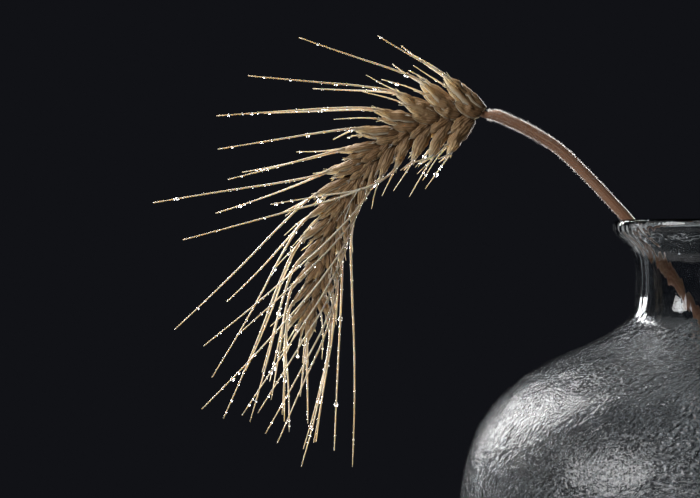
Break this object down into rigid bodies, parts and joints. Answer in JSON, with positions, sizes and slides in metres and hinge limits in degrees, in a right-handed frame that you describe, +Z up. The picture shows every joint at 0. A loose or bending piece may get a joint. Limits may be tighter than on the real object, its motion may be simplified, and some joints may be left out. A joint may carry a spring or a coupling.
{
  "type": "wheat in a vase",
  "caption": "Bearded ear of wheat nodding on a curved stem that leans on the flared lip of a round-shouldered clear glass bottle vase with a hammered surface.",
  "frame": {"origin": "centre of the vase's flat foot, on the surface that it stands on", "axes": "+Z up along the vase's axis; -X towards the side where the stem leans on the lip and the ear hangs; the stem's arch and both rows of spikelets lie in the XZ plane; +Y completes the frame, and a viewer in front looks along +Y"},
  "size_m": [0.1966, 0.1216, 0.2053],
  "materials": {
    "clear_glass": "clear glass with a hammered surface of small dents and ripples; smooth lip and neck with fine upright streaks",
    "stem_skin": "dry reddish brown straw with short pale hairs",
    "husk_straw": "dry golden brown husks with paler edges, and pale awns",
    "water_drops": "clear water in small round drops on the awns"
  },
  "bodies": {
    "root": {"vase": "clear_glass", "stem": "stem_skin", "floret_01_front": "husk_straw", "floret_01_back": "husk_straw", "floret_02_front": "husk_straw", "floret_02_back": "husk_straw", "floret_03_front": "husk_straw", "floret_03_back": "husk_straw", "floret_04_front": "husk_straw", "floret_04_back": "husk_straw", "floret_05_front": "husk_straw", "floret_05_back": "husk_straw", "floret_06_front": "husk_straw", "floret_06_back": "husk_straw", "floret_07_front": "husk_straw", "floret_07_back": "husk_straw", "floret_08_front": "husk_straw", "floret_08_back": "husk_straw", "floret_09_front": "husk_straw", "floret_09_back": "husk_straw", "floret_10_front": "husk_straw", "floret_10_back": "husk_straw", "floret_11_front": "husk_straw", "floret_11_back": "husk_straw", "floret_12_front": "husk_straw", "floret_12_back": "husk_straw", "floret_13_front": "husk_straw", "floret_13_back": "husk_straw", "floret_14_front": "husk_straw", "floret_14_back": "husk_straw", "floret_15_front": "husk_straw", "floret_15_back": "husk_straw", "floret_16_front": "husk_straw", "floret_16_back": "husk_straw", "floret_17_front": "husk_straw", "floret_17_back": "husk_straw", "floret_18_front": "husk_straw", "floret_18_back": "husk_straw", "floret_19_front": "husk_straw", "floret_19_back": "husk_straw", "floret_20_front": "husk_straw", "floret_20_back": "husk_straw", "floret_21_front": "husk_straw", "floret_21_back": "husk_straw", "floret_22_front": "husk_straw", "floret_22_back": "husk_straw", "floret_23_front": "husk_straw", "floret_23_back": "husk_straw", "floret_24_front": "husk_straw", "floret_24_back": "husk_straw", "floret_25_front": "husk_straw", "floret_25_back": "husk_straw", "floret_26_front": "husk_straw", "floret_26_back": "husk_straw", "floret_27_front": "husk_straw", "floret_27_back": "husk_straw", "floret_28_front": "husk_straw", "floret_28_back": "husk_straw"}
  },
  "joints": []
}
